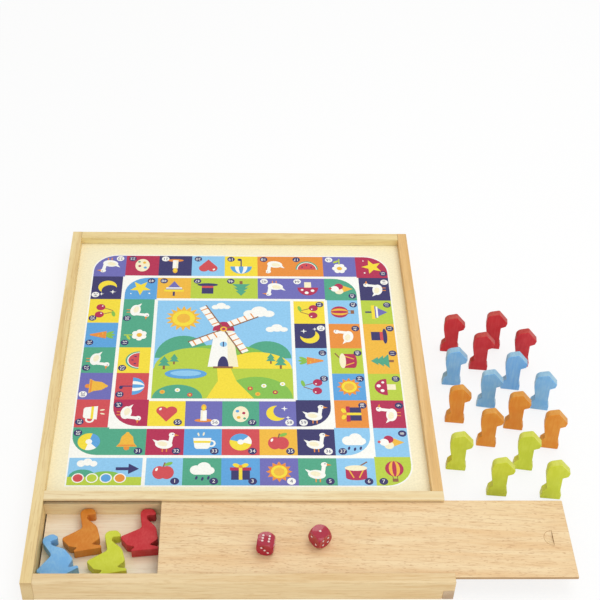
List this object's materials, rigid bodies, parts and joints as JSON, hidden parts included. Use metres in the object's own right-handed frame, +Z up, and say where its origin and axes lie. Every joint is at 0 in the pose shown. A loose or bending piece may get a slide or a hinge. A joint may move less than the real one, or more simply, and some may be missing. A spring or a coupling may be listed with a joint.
{
  "type": "ludo and goose game board",
  "caption": "Reversible wooden game board for ludo and goose, with a tray under a sliding lid, flat goose and horse pawns, and rounded dice.",
  "frame": {"origin": "middle of the underside of the divider rail, on the table", "axes": "+X to the right, the way the lid slides out; +Y to the back, from the tray over the game panel; +Z up, with the goose side on top"},
  "size_m": [0.4021, 0.375, 0.0392],
  "materials": {
    "beech_rail": "sanded beech under thin clear lacquer",
    "beech_lid": "planed beech under thin clear lacquer, grain along the lid",
    "birch_panel": "sanded birch plywood",
    "goose_print": "satin printed paper, goose track",
    "ludo_print": "satin printed paper, ludo cross",
    "plywood_floor": "thin plywood, pale face up, red-brown face down",
    "clear_red_plastic": "polished transparent red plastic with white pips",
    "red_stain": "satin opaque paint on sawn and tumbled wood",
    "blue_stain": "satin opaque paint on sawn and tumbled wood",
    "orange_stain": "satin opaque paint on sawn and tumbled wood",
    "green_stain": "satin opaque paint on sawn and tumbled wood"
  },
  "bodies": {
    "frame": {"left_rail": "beech_rail", "right_rail": "beech_rail", "back_rail": "beech_rail", "divider_rail": "beech_rail", "front_rail": "beech_rail", "tray_end_rail": "beech_rail", "game_panel": "birch_panel", "goose_sheet": "goose_print", "ludo_sheet": "ludo_print", "tray_floor": "plywood_floor"},
    "lid": {"sliding_lid": "beech_lid"},
    "goose_blue": {"goose_blue": "blue_stain"},
    "goose_orange": {"goose_orange": "orange_stain"},
    "goose_green": {"goose_green": "green_stain"},
    "goose_red": {"goose_red": "red_stain"},
    "horse_red_1": {"horse_red_1": "red_stain"},
    "horse_red_2": {"horse_red_2": "red_stain"},
    "horse_red_3": {"horse_red_3": "red_stain"},
    "horse_red_4": {"horse_red_4": "red_stain"},
    "horse_blue_1": {"horse_blue_1": "blue_stain"},
    "horse_blue_2": {"horse_blue_2": "blue_stain"},
    "horse_blue_3": {"horse_blue_3": "blue_stain"},
    "horse_blue_4": {"horse_blue_4": "blue_stain"},
    "horse_orange_1": {"horse_orange_1": "orange_stain"},
    "horse_orange_2": {"horse_orange_2": "orange_stain"},
    "horse_orange_3": {"horse_orange_3": "orange_stain"},
    "horse_orange_4": {"horse_orange_4": "orange_stain"},
    "horse_green_1": {"horse_green_1": "green_stain"},
    "horse_green_2": {"horse_green_2": "green_stain"},
    "horse_green_3": {"horse_green_3": "green_stain"},
    "horse_green_4": {"horse_green_4": "green_stain"},
    "die_1": {"die_1": "clear_red_plastic"},
    "die_2": {"die_2": "clear_red_plastic"}
  },
  "joints": [
    {"name": "lid_slide", "type": "slide", "parent": "frame", "child": "lid", "axis": [1, 0, 0], "range_m": [-0.0871, 0.2065]},
    {"name": "goose_blue_lift", "type": "slide", "parent": "frame", "child": "goose_blue", "axis": [0, 0, 1], "range_m": [0, 0.05]},
    {"name": "goose_orange_lift", "type": "slide", "parent": "frame", "child": "goose_orange", "axis": [0, 0, 1], "range_m": [0, 0.05]},
    {"name": "goose_green_lift", "type": "slide", "parent": "frame", "child": "goose_green", "axis": [0, 0, 1], "range_m": [0, 0.05]},
    {"name": "goose_red_lift", "type": "slide", "parent": "frame", "child": "goose_red", "axis": [0, 0, 1], "range_m": [0, 0.05]},
    {"name": "horse_red_1_lift", "type": "slide", "parent": "frame", "child": "horse_red_1", "axis": [0, 0, 1], "range_m": [0, 0.06]},
    {"name": "horse_red_2_lift", "type": "slide", "parent": "frame", "child": "horse_red_2", "axis": [0, 0, 1], "range_m": [0, 0.06]},
    {"name": "horse_red_3_lift", "type": "slide", "parent": "frame", "child": "horse_red_3", "axis": [0, 0, 1], "range_m": [0, 0.06]},
    {"name": "horse_red_4_lift", "type": "slide", "parent": "frame", "child": "horse_red_4", "axis": [0, 0, 1], "range_m": [0, 0.06]},
    {"name": "horse_blue_1_lift", "type": "slide", "parent": "frame", "child": "horse_blue_1", "axis": [0, 0, 1], "range_m": [0, 0.06]},
    {"name": "horse_blue_2_lift", "type": "slide", "parent": "frame", "child": "horse_blue_2", "axis": [0, 0, 1], "range_m": [0, 0.06]},
    {"name": "horse_blue_3_lift", "type": "slide", "parent": "frame", "child": "horse_blue_3", "axis": [0, 0, 1], "range_m": [0, 0.06]},
    {"name": "horse_blue_4_lift", "type": "slide", "parent": "frame", "child": "horse_blue_4", "axis": [0, 0, 1], "range_m": [0, 0.06]},
    {"name": "horse_orange_1_lift", "type": "slide", "parent": "frame", "child": "horse_orange_1", "axis": [0, 0, 1], "range_m": [0, 0.06]},
    {"name": "horse_orange_2_lift", "type": "slide", "parent": "frame", "child": "horse_orange_2", "axis": [0, 0, 1], "range_m": [0, 0.06]},
    {"name": "horse_orange_3_lift", "type": "slide", "parent": "frame", "child": "horse_orange_3", "axis": [0, 0, 1], "range_m": [0, 0.06]},
    {"name": "horse_orange_4_lift", "type": "slide", "parent": "frame", "child": "horse_orange_4", "axis": [0, 0, 1], "range_m": [0, 0.06]},
    {"name": "horse_green_1_lift", "type": "slide", "parent": "frame", "child": "horse_green_1", "axis": [0, 0, 1], "range_m": [0, 0.06]},
    {"name": "horse_green_2_lift", "type": "slide", "parent": "frame", "child": "horse_green_2", "axis": [0, 0, 1], "range_m": [0, 0.06]},
    {"name": "horse_green_3_lift", "type": "slide", "parent": "frame", "child": "horse_green_3", "axis": [0, 0, 1], "range_m": [0, 0.06]},
    {"name": "horse_green_4_lift", "type": "slide", "parent": "frame", "child": "horse_green_4", "axis": [0, 0, 1], "range_m": [0, 0.06]},
    {"name": "die_1_lift", "type": "slide", "parent": "lid", "child": "die_1", "axis": [0, 0, 1], "range_m": [0, 0.04]},
    {"name": "die_2_lift", "type": "slide", "parent": "lid", "child": "die_2", "axis": [0, 0, 1], "range_m": [0, 0.04]}
  ]
}
